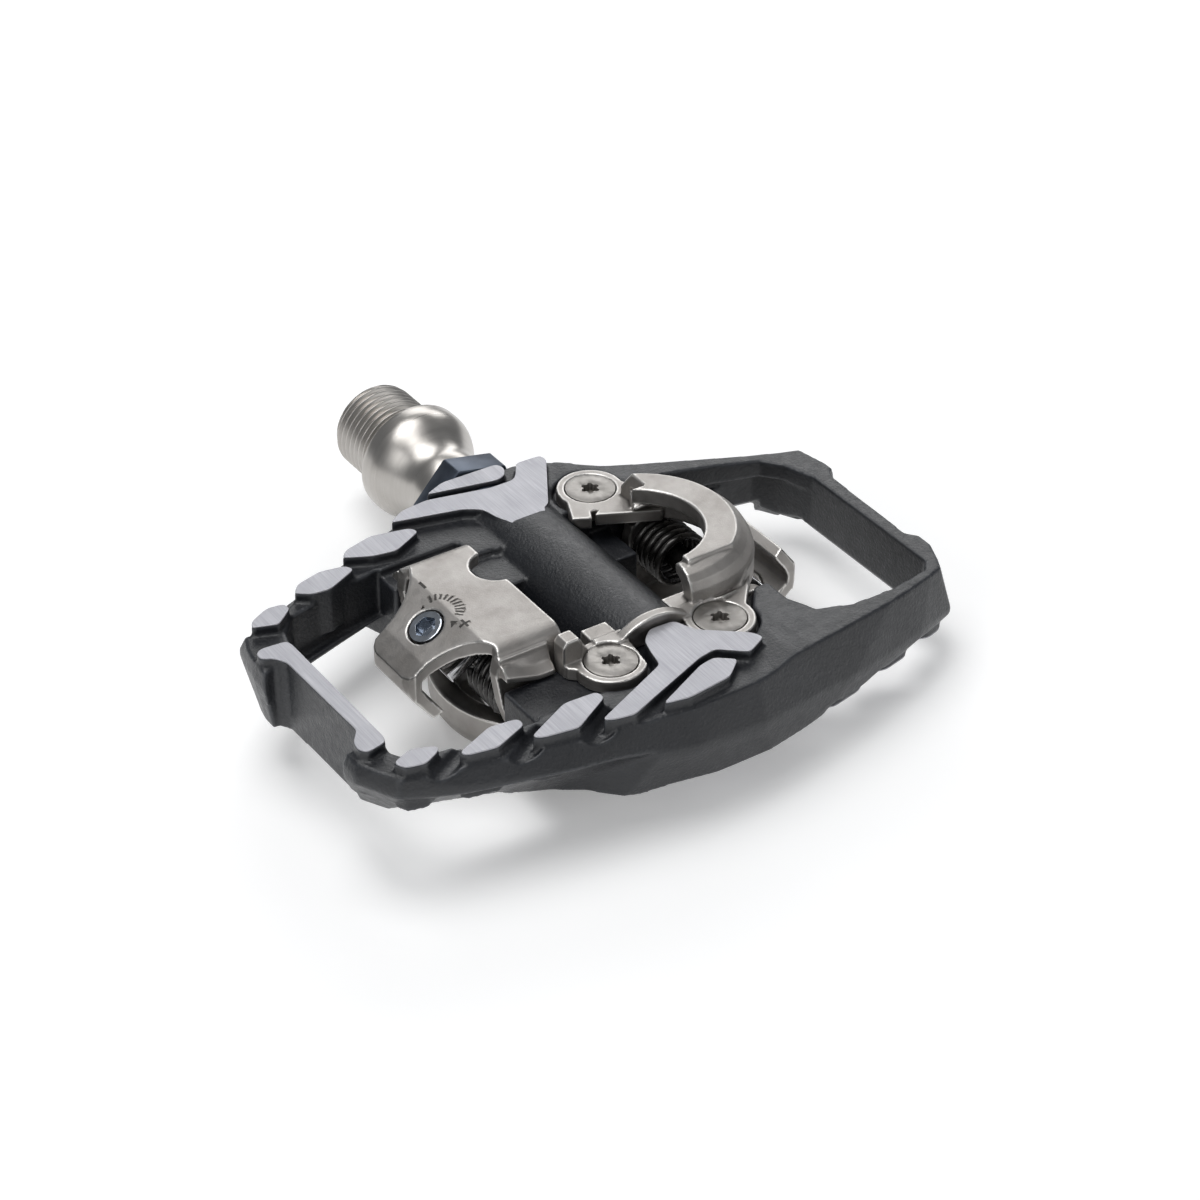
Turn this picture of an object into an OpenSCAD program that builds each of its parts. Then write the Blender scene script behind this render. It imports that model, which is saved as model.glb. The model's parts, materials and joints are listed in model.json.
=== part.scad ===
// Clipless trail pedal, right-hand side, both faces usable.
// +X points to the front of the bicycle, +Y along the spindle into the crank, +Z up.
// The origin is on the spindle axis at the shoulder that seats on the crank.

/* [Spindle] */
// Distance from the crank seat to the middle of the cleat
cleat_offset = 50; // [49:0.5:52]
// Outside diameter of the crank thread
thread_d = 14.288; // [14.0:0.001:14.4]
// Length of the crank thread
thread_len = 12; // [11:0.5:13]
// Diameter of the shoulder that seats on the crank
shoulder_d = 18.4; // [18:0.1:19]
// Diameter of the neck next to the lock nut
neck_d = 12.2; // [11.6:0.1:12.6]
// Hexagon key size of the socket in the thread end
socket_af = 8; // [6:1:8]

/* [Bearings] */
// Ball diameter
ball_d = 2.38; // [2:0.01:2.38]
// Balls in each row
ball_count = 11; // [8:1:11]
// Radius of the circle through the ball centres
ball_ring_r = 4.6; // [4.6:0.01:4.65]
// Across flats of the lock nut at the crank side
lock_nut_af = 14.6; // [14:0.1:15]

/* [Cage] */
// Height of the machined pads above the spindle axis
pad_z = 7.5; // [7.3:0.1:7.8]
// Height of the as-forged face between the pads
cast_z = 5.9; // [5.6:0.1:6.1]
// Height of the plain half of each face at the end bar
bar_z = 4; // [3.6:0.1:4.4]
// Distance from the spindle to the inner side of an end bar
window_x = 44.2; // [43.6:0.1:44.6]
// Outside radius of the axle housing
barrel_r = 8.1; // [7.9:0.1:8.3]

/* [Binding] */
// Distance from the spindle axis to a pivot pin
pivot_x = 18.5; // [18.3:0.1:18.7]
// Radius of a pivot pin
pin_r = 1.75; // [1.6:0.05:1.9]
// Height of the binding above the spindle axis
binding_z = 10.5; // [10.2:0.1:10.8]
// Thickness of the binding plate
plate_t = 2; // [1.8:0.1:2.2]
// Wire diameter of the torsion springs
wire_d = 1.2; // [1:0.1:1.3]
// Turns in each torsion spring
spring_turns = 6; // [4:1:6]
// Slope of the plate around the tension bolt, in degrees
bolt_tilt = 30; // [28:1:32]

/* [Claw plate] */
// Top of the flat part of a claw plate
claw_z = 6.7; // [6.5:0.1:6.8]
// Radius of a screw head
screw_head_r = 3.75; // [3.5:0.05:3.8]
// Radius of a screw thread
screw_r = 2; // [1.8:0.05:2.1]

/* [Hidden] */
$fn = 64;
eps = 0.01;
fit_gap = 0.03;                 // radial clearance of a running fit
big = 200;                      // longer than the whole pedal

// Colours
forged_black = [0.13, 0.14, 0.16];
steel = [0.62, 0.60, 0.58];
blasted = [0.60, 0.58, 0.56];
nut_grey = [0.50, 0.53, 0.58];
dark_steel = [0.16, 0.15, 0.15];
chrome = [0.80, 0.81, 0.83];
rubber = [0.06, 0.06, 0.06];
resin = [0.85, 0.83, 0.78];

// Stations along the spindle, measured from the middle of the cleat towards the crank
seat_y = cleat_offset;
thread_end_y = seat_y + thread_len;
nut_out_y = 36;                 // crank side of the lock nut
nut_in_y = 31.6;                // face of the lock nut against the housing
thread_in_y = 24;               // end of the lock nut's thread
inner_race_y = 21;
outer_race_y = -6;
housing_end_y = -12.5;          // bottom of the blind bore
cone_seat_y = -7.9;             // step of the spindle beside the cone
rear_wall_y = -14.4;            // housing meets the outboard boss
flare_y = 14;                   // housing starts to widen into the crank-side wall
pad_tip_y = 16.2;               // tip of the big crank-side pad on top of the housing
barrel_end_y = 26;

// Radii inside the housing
bore_r = 6.3;
nut_thread_r = 6.7;
bush_r = 5.6;
journal_r = 4.7;
core_r = 3.3;
stud_r = 3;
race_r = ball_ring_r + ball_d / 2 + fit_gap;

// Outline of the cage through the top pads, from the outboard side forward and round
top_outline = [
    [-5.5, -32.5], [5.5, -32.5], [21.5, -29], [37, -25.4], [44.3, -23], [46.6, -17.5],
    [47.4, 7.6], [46.2, 13.8], [39, 19], [28, 22.8], [9, 30.2], [5, 31.5], [-5, 31.5], [-9, 30.2],
    [-28, 22.6], [-38, 18.8], [-47, 14.5], [-49.4, 8.5], [-48.2, -18], [-45.3, -24.3], [-37, -26.4],
    [-21.5, -29.7]
];
// The same through the bottom pads
bottom_outline = [
    [-5.5, -32.6], [-1, -34], [8, -34], [21.5, -30], [37, -25.2], [44.6, -21.4], [48.4, -16],
    [49.4, 8.5], [47, 14.5], [38, 18.8], [28, 22.6], [9, 30.2], [5, 31.5], [-5, 31.5], [-9, 30.2],
    [-28, 22], [-38, 18.4], [-45.6, 14], [-48.2, 8], [-46.6, -9], [-43.6, -14.5], [-39, -17.6],
    [-31.3, -20.3], [-23.3, -24.6], [-11, -32]
];
// Widest outline of the walls, right half; its crease drops towards the front by crease_tilt
crease_half = [
    [5.5, -35], [24, -31.5], [39, -27.5], [46.8, -24.6], [50, -18.8],
    [50, 9], [48.8, 15.2], [39, 20.2], [28, 24.6], [9, 32.4], [5, 33]
];
crease_tilt = 4.3;
// What is hollowed from the front half of the crank-side wall, high up and low down
scallop_high = [
    [8, 31.5], [16, 25.2], [22, 20], [30, 16.2], [40, 13.2], [47, 10.8], [60, 6], [60, 60], [8, 60]];
scallop_low = [
    [8, 33.4], [18, 31], [24, 28.2], [32, 24.4], [40, 20.6], [49, 16], [60, 12], [60, 60], [8, 60]];
// The same on the outboard wall below the rear pads
keel_high = [[-11, -34.3], [-24, -31.6], [-39, -27.6], [-46.8, -24.8], [-60, -20], [-60, -60], [-11, -60]];
keel_low = [
    [-13.5, -33.4], [-21.9, -25.4], [-27.8, -21.8], [-33, -19.6], [-44, -15.6], [-60, -12], [-60, -60],
    [-13.5, -60]];

// Half width of the binding wells
well_y = 14.4;
// Clear space of one window and binding well, left half
well_half = [
    [-window_x, 6], [-window_x, -18.5], [-42.6, -21.3], [-31.5, -22.8], [-24, -23.6],
    [-24, -well_y], [0, -well_y], [0, well_y], [-24, well_y], [-24, 17.8], [-33, 15.8], [-40, 13.6],
    [-42.6, 10.5]
];
// Extra width of the same well beside the pads
well_pads = [[-24, 14], [-24, 19], [-33, 17.2], [-40, 15.5], [-42.6, 12.5], [-window_x, 6], [-42, 5]];
// Extra width of the front window, past its outboard corner and up to the boss of the pivot pin
front_well = [
    [window_x, -10], [window_x, -20.9], [42.6, -22.8], [35.5, -24.4], [28, -24.8], [22.5, -23.2], [20.6, -19],
    [20.6, -14], [24, -10]
];
// Side view of the cage: raised half, then plain half
crown_line = [[-60, cast_z], [9, cast_z], [13, cast_z + 0.4], [window_x, bar_z + 0.2], [60, bar_z]];

// Side view of the bottom pads, which thin towards the front bar
pad_fall = [[-60, 1], [-60, -pad_z], [20, -pad_z], [window_x, -6.5], [60, -6], [60, 1]];

// Machined pads of the top face
bar_pad = [
    [-49.4, 8.6], [-48.3, 9.2], [-44.4, 8.8], [-44.2, 7.6], [-44.2, -17.3], [-44.6, -18.2], [-47.5, -18.8],
    [-48.4, -17.6], [-48.1, -15.8], [-46.4, -13.8], [-46.8, 4.6], [-47.8, 6.4], [-49.4, 7.2]
];
crank_pads = [
    [[-47, 14.3], [-46.2, 15.6], [-43, 17.2], [-40.4, 16.8], [-40.3, 15.4], [-43.4, 12.9]],
    [[-38, 18.3], [-36.6, 19.9], [-32.4, 21], [-28.6, 20.2], [-28, 18.8], [-33.2, 16.4], [-36, 16.8]],
    [[-28, 22.2], [-26.6, 23.6], [-21.9, 24.8], [-16, 23.4], [-15.4, 22], [-20.5, 19.5], [-24, 20.2]],
    [[-17.6, 26.2], [-14.7, 28], [-10.2, 28.4], [-2, 26.4], [2.2, 25.3], [4.2, 26.6], [6.2, 29.6],
     [10.4, 29.4],
     [10.6, 28], [4.2, 17.6], [0.2, 16.2], [-2.8, 16.5], [-3.9, 18.6], [-4.6, 21.8], [-7, 23.4]],
    [[-9.4, 29.7], [-5.9, 31.2], [3.6, 31], [4.1, 29.6], [3.1, 27.8], [1.6, 27.2]]
];
outboard_pads = [
    [[-46, -22.6], [-42.7, -21.3], [-39.4, -22.6], [-39.6, -23.6], [-42.4, -25], [-45.2, -24.3]],
    [[-37.8, -25.6], [-31.6, -23], [-27.4, -23.6], [-27.4, -25.2], [-32.8, -27.3], [-37, -26.5]],
    [[-28, -27.9], [-20.5, -24.2], [-15.4, -24.5], [-15.2, -26.1], [-21.6, -29.7], [-26.8, -28.8]],
    [[-18.2, -30], [-4.8, -24.1], [-4.2, -21], [-3.4, -18.4], [-1.4, -16.6], [2.6, -16.8], [4, -20.2],
     [10, -25], [10.8, -26.8], [7.2, -28.6], [3.5, -25.4], [0.6, -25.9], [-13.8, -31.4], [-16.8, -30.8]],
    [[-9.4, -31.6], [-0.3, -27.3], [2.2, -26.9], [4.8, -29], [1.6, -31.6], [-5.6, -32.4]]
];

// Screws of a claw plate: crank-side front, outboard front and outboard rear
screw_spots = [[12.4, 18.8], [9.2, -18.7], [-9.2, -18.7]];
ear_r = 5.1;
seat_z = 4.65;                  // face of the cage under a claw plate
claw_under_z = 4.7;
bridge_y = -16.2;
dome_x = 9;                     // centre of the round claw
dome_r = 16;
dome_under_z = 9.4;
dome_top_z = 12;

// Binding
leg_in_y = 11.3;
leg_out_y = 13.3;
pin_half = 18;
pin_boss_r = 4;
spring_r = 4.55;                // outside radius of a spring
spring_in_y = 2.9;
spring_pitch = (leg_in_y - 0.3 - spring_in_y) / spring_turns;
lip_x = -13.3;                  // edge of the rear claw
slope_top_x = -24;
slope_len = 8;
bolt_s = 4;                     // distance of the bolt down the slope
bolt_shank_r = 2;
bolt_head_r = 2.5;
nut_gap = 4.6;                  // bolt head face to the middle of the tension nut
head_t = 1.4;
bolt_len = 9;
nut_size = [5.2, 12.4, 1.8];    // across, along the pin, along the bolt
tail_y = 5.7;                   // half width of the turned-down end
shoulder_edge_r = 2.8;          // rounding of the plate above its legs
hinge = [-pivot_x, 0, 0];

function mirrored(half) = concat(half, [for (i = [len(half) - 1:-1:0]) [-half[i][0], half[i][1]]]);
function turned(line) = concat(line, [for (p = line) [-p[0], -p[1]]]);

// Everything is laid out from the middle of the cleat and moved to the crank seat once
module placed() translate([0, -cleat_offset, 0]) children();
// The bottom face is the top face turned half a turn about the spindle
module flipped() rotate([0, 180, 0]) children();
module both_faces() {
    children();
    flipped() children();
}
// A cylinder along +Y between two stations
module rod(r, y0, y1, fn = 64) translate([0, y0, 0]) rotate([-90, 0, 0])
    cylinder(r = r, h = y1 - y0, $fn = fn);
// A profile of [radius, station] points turned about the spindle
module turned_profile(points) rotate([-90, 0, 0]) rotate_extrude($fn = 96) polygon(points);
module slab(points, z0, z1) translate([0, 0, z0]) linear_extrude(z1 - z0) polygon(points);
// A side-view [x, z] outline between two stations along Y
module side_plate(points, y0, y1) translate([0, y1, 0]) rotate([90, 0, 0])
    linear_extrude(y1 - y0) polygon(points);

// ---------------------------------------------------------------- spindle and bearings
thread_pitch = 1.27;
thread_depth = 0.78;
thread_flat = 0.3;
thread_turns = floor((thread_len - 1) / thread_pitch);

module thread_grooves() for (i = [0:thread_turns - 1]) {
    y = seat_y + thread_flat + i * thread_pitch;
    turned_profile([
        [thread_d / 2 + 1, y - 0.4], [thread_d / 2 - thread_depth, y + thread_pitch / 2 - 0.1],
        [thread_d / 2 - thread_depth, y + thread_pitch / 2 + 0.1], [thread_d / 2 + 1, y + thread_pitch + 0.4]
    ]);
}

// Rounded shoulder from the neck to the seat flange
shoulder_in_y = nut_out_y + 4;
shoulder_end_y = seat_y - 2;
function shoulder_r(t) = neck_d / 2 + (shoulder_d - neck_d) / 4 * (1 - cos(180 * t));
shoulder_curve = [
    for (i = [0:8]) [shoulder_r(i / 8), shoulder_in_y + (shoulder_end_y - shoulder_in_y) * (i / 8)]];

module spindle() color(steel) placed() difference() {
    union() {
        turned_profile(concat(
            [[0, housing_end_y + 0.3], [stud_r - 0.4, housing_end_y + 0.3], [stud_r, housing_end_y + 0.7],
             [stud_r, cone_seat_y], [core_r, cone_seat_y], [core_r, inner_race_y + 0.4],
             [journal_r, inner_race_y + 1.9],
             [journal_r, nut_out_y + 0.3], [neck_d / 2, nut_out_y + 0.3]],
            shoulder_curve,
            [[shoulder_d / 2, seat_y - 0.2], [shoulder_d / 2 - 0.2, seat_y], [thread_d / 2, seat_y],
             [thread_d / 2, thread_end_y - 0.7], [thread_d / 2 - 0.7, thread_end_y], [0, thread_end_y]]));
    }
    thread_grooves();
    rod(socket_af / sqrt(3), thread_end_y - 8, thread_end_y + 1, 6);
}

module spindle_seal() color(rubber) placed() turned_profile([
    [journal_r + fit_gap, nut_out_y - 2.4], [bush_r, nut_out_y - 2.4], [bush_r, nut_out_y - 0.3],
    [bush_r - 0.3, nut_out_y], [journal_r + fit_gap, nut_out_y]]);

module lock_nut() color(nut_grey) placed() difference() {
    union() {
        rotate([0, 12, 0]) rod(lock_nut_af / sqrt(3), nut_in_y, nut_out_y, 6);
        rod(nut_thread_r, thread_in_y, nut_in_y + eps);
    }
    rod(bush_r, thread_in_y - 1, nut_out_y + 1);
}

module inboard_bush() color(resin) placed() difference() {
    rod(bush_r, thread_in_y + 0.4, nut_out_y - 2.5);
    rod(journal_r + fit_gap, thread_in_y, nut_out_y);
}

module bearing_sleeve() color(steel) placed() turned_profile([
    [race_r, outer_race_y - 1.8], [bore_r - 0.02, outer_race_y - 1.8], [bore_r - 0.02, thread_in_y - 0.1],
    [race_r, thread_in_y - 0.1], [race_r, inner_race_y - 1.25], [journal_r - 0.6, inner_race_y - 1.25],
    [journal_r - 0.6, outer_race_y + 1.25], [race_r, outer_race_y + 1.25]]);

module ball_row(y) for (i = [0:ball_count - 1]) {
    rotate([0, i * 360 / ball_count, 0]) translate([ball_ring_r, y, 0]) sphere(d = ball_d, $fn = 32);
}
module inner_balls() color(chrome) placed() ball_row(inner_race_y);
module outer_balls() color(chrome) placed() ball_row(outer_race_y);

module bearing_cone() color(steel) placed() turned_profile([
    [stud_r + 0.02, -9.6], [4.9, -9.6], [4.9, -8.4], [3.9, -7.45], [stud_r + 0.02, -8.3]]);

module cone_washer() color(dark_steel) placed() difference() {
    rod(4.6, -10.1, -9.65);
    rod(stud_r + 0.02, -11, -9);
}

module cone_lock_nut() color(steel) placed() difference() {
    rod(9 / sqrt(3), -12, -10.15, 6);
    rod(stud_r + 0.02, -13, -10);
}

// ---------------------------------------------------------------- cage
module crown() side_plate(turned(crown_line), -big / 2, big / 2);

// A wedge taken from under the inner edge of a rail, from one point on the rail to the next
module undercut(from, to, z, out, down) translate([from[0], from[1], z])
    rotate([0, 0, atan2(to[1] - from[1], to[0] - from[0])]) rotate([90, 0, 90])
        linear_extrude(norm(to - from)) polygon([[-2, 0], [0, 0], [out, -down], [-2, -down]]);

// Recess in a face for the flat part of a claw plate
module claw_recess() translate([0, 0, seat_z]) linear_extrude(big) {
    for (p = screw_spots) translate(p) circle(r = ear_r + 0.6);
    translate([dome_x, 0]) circle(r = dome_r + 0.5);
    translate([-9.2, -18.7]) square([18.4, 8]);
    translate([-15.6, -17.4]) square([8, 6]);
    polygon([[9, 12], [17.8, 18.8], [21.4, 11], [18, 7]]);
    polygon([[5, -13], [14.6, -19], [20, -12.2], [14, -10]]);
}

// Shallow hollow in the outer face of the end bar, between its corner posts
module bar_recess() slab([
    [-60, 4.6], [-47.8, 6.2], [-46.8, 4.4], [-46.4, -13.6], [-48, -15.6], [-60, -14.4]], -big / 2, big / 2);

// Scooped grooves that run across a rail between two pads
module groove(x, y, heading, r, depth) translate([x, y, cast_z + r - depth])
    rotate([0, 0, heading]) rotate([0, 90, 0]) cylinder(r = r, h = 13, center = true, $fn = 48);

module grooves() {
    groove(-41.5, 18.2, 30, 1.6, 1.0);
    groove(-31.6, 22, 28, 1.8, 1.2);
    groove(-21.4, 26, 24, 1.8, 1.2);
    groove(-39.5, -25.4, 28, 1.6, 1.0);
    groove(-29.5, -28.6, 30, 1.8, 1.2);
    groove(-19.5, -31, 30, 1.8, 1.2);
}

module pads() {
    slab(bar_pad, 0, pad_z);
    for (p = crank_pads) slab(p, 0, pad_z);
    for (p = outboard_pads) slab(p, 0, pad_z);
}

module pedal_body() color(forged_black) placed() difference() {
    union() {
        difference() {
            intersection() {
                hull() {
                    slab(top_outline, pad_z - 0.1, pad_z);
                    slab(bottom_outline, -pad_z, 0.1 - pad_z);
                    rotate([0, crease_tilt, 0]) slab(mirrored(crease_half), -0.5, 0.5);
                }
                crown();
            }
            slab(front_well, -big / 2, big / 2);
            hull() {
                slab(scallop_high, 9, 9.1);
                slab(scallop_low, -1, -0.9);
            }
            hull() {
                slab(keel_high, 1.9, 2);
                slab(keel_low, -8.1, -8);
            }
            both_faces() {
                slab(well_half, -big / 2, big / 2);
                slab(well_pads, -1.5, big);
                bar_recess();
                grooves();
            }
        }
        pads();
        intersection() {
            flipped() pads();
            side_plate(pad_fall, -big / 2, big / 2);
        }
        // shelf beside the housing that backs the edge of the rear claw
        both_faces() translate([-12.6, 6.5, -2]) cube([6, 10.5, 6.8]);
        // bosses of the pivot pins
        for (side = [-1, 1]) translate([side * pivot_x, 0, 0]) rod(pin_boss_r, -pin_half - 1, -well_y);
        rod(barrel_r, rear_wall_y, pad_tip_y);
        // under the big crank-side pad the housing is milled down with it, then flares into the wall
        intersection() {
            rod(barrel_r, pad_tip_y - 1, barrel_end_y);
            cube([big, big, 2 * pad_z], center = true);
        }
        intersection() {
            rod(barrel_r + 1, flare_y, nut_in_y);
            cube([big, big, 2 * cast_z], center = true);
        }
    }
    // the lower inner edges of the two crank-side rails and of the front bar fall away
    undercut([-43, 11.8], [-24, 17.8], -1.5, 6, 5.1);
    undercut([22, 19], [41, 14.6], -3.4, 5.4, 4.6);
    undercut([40, 15.5], [44.2, 7.5], -4.2, 3, 3.6);
    undercut([window_x, 9.5], [window_x, -17.5], -4.6, 2.6, 3);
    both_faces() {
        claw_recess_cut();
        for (p = screw_spots) translate([p[0], p[1], -1]) cylinder(r = screw_r + 0.02, h = 20, $fn = 48);
        // head room over the pin lugs, beside the binding
        translate([-25, 14, seat_z]) cube([14, 4.6, big]);
        translate([-25, -23, seat_z]) cube([12, 9, big]);
    }
    for (side = [-1, 1]) translate([side * pivot_x, 0, 0]) rod(pin_r + 0.01, -pin_half, pin_half);
    rod(bore_r, housing_end_y, thread_in_y + eps);
    rod(nut_thread_r + 0.02, thread_in_y, 60);
    rod(9.4, nut_in_y - eps, 60);
}
// The recess stays clear of the housing and of the tongue of the big outboard pad
module claw_recess_cut() difference() {
    claw_recess();
    rod(barrel_r, rear_wall_y, barrel_end_y);
    slab(outboard_pads[3], 0, pad_z + 1);
    slab(crank_pads[3], 0, pad_z + 1);
}

// ---------------------------------------------------------------- fixed front claw
module claw_flat() {
    for (p = screw_spots) translate(p) circle(r = ear_r);
    translate([dome_x, 0]) difference() {
        circle(r = dome_r);
        circle(r = 13.6);
        translate([-big, -big / 2]) square([big, big]);
    }
    polygon([[9, 12.5], [17.4, 18], [20.5, 11], [18, 8]]);
    polygon([[5, -13.6], [14.3, -18], [19, -12.4], [14, -10.5]]);
    polygon([[-9, -13.6], [-4.6, -17], [-4.4, -10.6], [-8.9, -10.6]]);
    polygon([[4.2, -10.6], [9, -10.6], [9, -14], [4.6, -16]]);
    // small stop beside the rear claw, and the finger next to the crank-side ear
    polygon([[-9, -14], [-14.2, -13.9], [-15.3, -14.4], [-15.2, -17], [-12, -20]]);
    polygon([[9.6, 14.6], [8.2, 12], [5.6, 13.4], [7.4, 17.6]]);
}

module claw_plate() difference() {
    union() {
        translate([0, 0, claw_under_z]) linear_extrude(claw_z - claw_under_z) claw_flat();
        // round claw that hooks the nose of the cleat
        difference() {
            union() {
                translate([dome_x, 0, claw_under_z]) cylinder(r = dome_r, h = 3.6, $fn = 96);
                translate([dome_x, 0, claw_under_z + 3.6]) cylinder(
                    r1 = dome_r, r2 = dome_r - 2.6, h = dome_top_z - claw_under_z - 3.6, $fn = 96);
            }
            translate([dome_x, 0, 0]) cylinder(r = 13.6, h = dome_under_z, $fn = 96);
            translate([8, 0, 0]) cylinder(r = 9.6, h = big, $fn = 96);
            translate([-big + dome_x, -big / 2, 0]) cube(big);
            translate([0, 8.4, claw_z]) cube([15, big, big]);
            // the hood falls away towards the outboard screw
            translate([0, -14.5, claw_z]) rotate([-33, 0, 0]) translate([0, -big, 0]) cube(big);
        }
        // bridge past the end of the axle housing
        translate([-9, bridge_y, claw_under_z]) cube([18, 2.6, 2.4]);
        // stop beside the rear claw
        side_plate([[-15.4, claw_under_z], [-15.4, 9.6], [-14.8, 10.4], [-12.8, 10.4], [-10.4, 6.6],
                    [-10.4, claw_under_z]], -16.4, -13.8);
    }
    for (p = screw_spots) translate([p[0], p[1], 0]) {
        cylinder(r = screw_r + 0.15, h = 20, $fn = 48);
        translate([0, 0, claw_z - 1.6]) cylinder(r = screw_head_r + 0.1, h = 10, $fn = 64);
    }
    rod(barrel_r + 0.05, rear_wall_y - 0.1, 20);
    // room for the tongue of the big outboard pad
    slab([[-4.4, -16.3], [-1.6, -16.3], [2.8, -16.5], [4.3, -19.9], [10.4, -24.8], [10, -27],
          [-6, -26]], 0, big);
}
module top_claw_plate() color(blasted) placed() claw_plate();
module bottom_claw_plate() color(blasted) placed() flipped() claw_plate();

// Six-lobed key recess
module lobed_recess(r, depth) translate([0, 0, -depth]) {
    cylinder(r = r * 0.72, h = depth + 1, $fn = 32);
    for (i = [0:5]) rotate([0, 0, i * 60]) translate([r * 0.72, 0, 0])
        cylinder(r = r * 0.26, h = depth + 1, $fn = 24);
}

module plate_screw() difference() {
    union() {
        translate([0, 0, claw_z - 1.6]) cylinder(r = screw_head_r, h = 1.6, $fn = 64);
        translate([0, 0, 0.5]) cylinder(r = screw_r, h = claw_z - 1.6 - 0.5 + eps, $fn = 48);
    }
    translate([0, 0, claw_z]) lobed_recess(1.45, 1.3);
}
module plate_screws() for (p = screw_spots) translate([p[0], p[1], 0]) plate_screw();
module top_plate_screws() color(blasted) placed() plate_screws();
module bottom_plate_screws() color(blasted) placed() flipped() plate_screws();

// ---------------------------------------------------------------- sprung rear binding
// Lower end of the sloping part, where the plate turns down
slope_end = [slope_top_x - slope_len * cos(bolt_tilt), binding_z - slope_len * sin(bolt_tilt)];
lip_out = [
    [lip_x, binding_z], [slope_top_x, binding_z], slope_end, [-33.6, 4.4], [-33.5, 2.2],
    [-32.6, 0.6], [-29.9, -3]
];
lip_in = [
    [-28.4, -2], [-30.8, 1.2], [-31.4, 2.6], [-31.3, 3.8], [slope_end[0] + 0.9, slope_end[1] - 1.8],
    [slope_top_x + 0.5, binding_z - plate_t], [lip_x, binding_z - plate_t]
];

// Frame of the tension bolt: local +Z points out through its head
module at_bolt(s = 0)
    translate([slope_top_x - bolt_s * cos(bolt_tilt), 0, binding_z - bolt_s * sin(bolt_tilt)])
    rotate([0, -bolt_tilt, 0]) translate([0, 0, s]) children();

module binding_leg() {
    side_plate([[lip_x - 0.5, binding_z - 0.4], [slope_top_x + 0.6, binding_z - 0.4], [-24.3, 6.5],
                [-23.4, 1], [-pivot_x - 3.6, -3], [-pivot_x + 3.6, -3], [-13.6, 4]], 0, leg_out_y - leg_in_y);
    translate([-pivot_x, 0, 0]) rod(4.2, 0, leg_out_y - leg_in_y);
}

module binding() difference() {
    union() {
        intersection() {
            side_plate(concat(lip_out, lip_in), -leg_out_y, leg_out_y);
            // wide at the claw, waisted down to the turned-down end
            difference() {
                translate([-40, -leg_out_y, -big / 2]) cube([40, 2 * leg_out_y, big]);
                for (side = [-1, 1]) translate([-31.8, side * 14.4, -big / 2])
                    cylinder(r = 9, h = big, $fn = 96);
                for (side = [0, 180]) rotate([side, 0, 0]) slab(
                    [[-30.6, tail_y + 0.6], [-32.2, tail_y], [-33.2, tail_y - 1], [-34, tail_y - 3.4], [-40, 0],
                     [-50, 30], [-31, 30]], -big / 2, big / 2);
            }
        }
        translate([0, leg_in_y, 0]) binding_leg();
        translate([0, -leg_out_y, 0]) binding_leg();
        at_bolt(-2.4) cylinder(r = 3.9, h = 2.2, $fn = 64);
    }
    // scoop in the edge of the claw
    translate([lip_x + 0.4, 4.9, 0]) cylinder(r = 3.7, h = big, $fn = 64);
    // rounded shoulders above the legs
    for (side = [-1, 1]) difference() {
        translate([-30, side * leg_out_y, binding_z]) cube(
            [60, 2 * shoulder_edge_r, 2 * shoulder_edge_r], center = true);
        translate([-70, side * (leg_out_y - shoulder_edge_r), binding_z - shoulder_edge_r]) rotate([0, 90, 0])
            cylinder(r = shoulder_edge_r, h = 80, $fn = 96);
    }
    at_bolt(-head_t - 0.1) cylinder(r = bolt_head_r + 0.35, h = 10, $fn = 64);
    at_bolt(-8) cylinder(r = bolt_shank_r + fit_gap, h = 10, $fn = 48);
    translate(hinge) rod(pin_r + 0.05, -20, 20);
}
module top_binding() color(blasted) placed() binding();
module bottom_binding() color(blasted) placed() flipped() binding();

module pivot_pin() translate(hinge) rod(pin_r, -pin_half, pin_half);
module top_pivot_pin() color(dark_steel) placed() pivot_pin();
module bottom_pivot_pin() color(dark_steel) placed() flipped() pivot_pin();

// One torsion spring, its turns drawn as touching rings round the pin
module spring(side) translate(hinge) {
    rotate([-90, 0, 0]) rotate_extrude($fn = 96) union() {
        for (i = [0:spring_turns - 1]) {
            translate([spring_r - wire_d / 2, side * (spring_in_y + spring_pitch * (i + 0.5))])
                square([wire_d, spring_pitch * 0.92], center = true);
        }
        translate([spring_r - wire_d / 2, side * (spring_in_y + leg_in_y - 0.3) / 2])
            square([wire_d * 0.5, (leg_in_y - 0.3 - spring_in_y)], center = true);
    }
}
module top_spring_inboard() color(dark_steel) placed() spring(1);
module top_spring_outboard() color(dark_steel) placed() spring(-1);
module bottom_spring_inboard() color(dark_steel) placed() flipped() spring(1);
module bottom_spring_outboard() color(dark_steel) placed() flipped() spring(-1);

module tension_bolt() at_bolt() difference() {
    union() {
        translate([0, 0, -head_t]) cylinder(r = bolt_head_r, h = head_t, $fn = 64);
        translate([0, 0, -bolt_len]) cylinder(r = bolt_shank_r, h = bolt_len - head_t + eps, $fn = 48);
    }
    translate([0, 0, -2.2]) cylinder(r = 3 / sqrt(3), h = 3, $fn = 6);
}
module top_tension_bolt() color(chrome) placed() tension_bolt();
module bottom_tension_bolt() color(chrome) placed() flipped() tension_bolt();

module tension_nut() at_bolt(-nut_gap) difference() {
    cube(nut_size, center = true);
    cylinder(r = bolt_shank_r + fit_gap, h = 10, center = true, $fn = 48);
}
module top_tension_nut() color(chrome) placed() tension_nut();
module bottom_tension_nut() color(chrome) placed() flipped() tension_nut();

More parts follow.
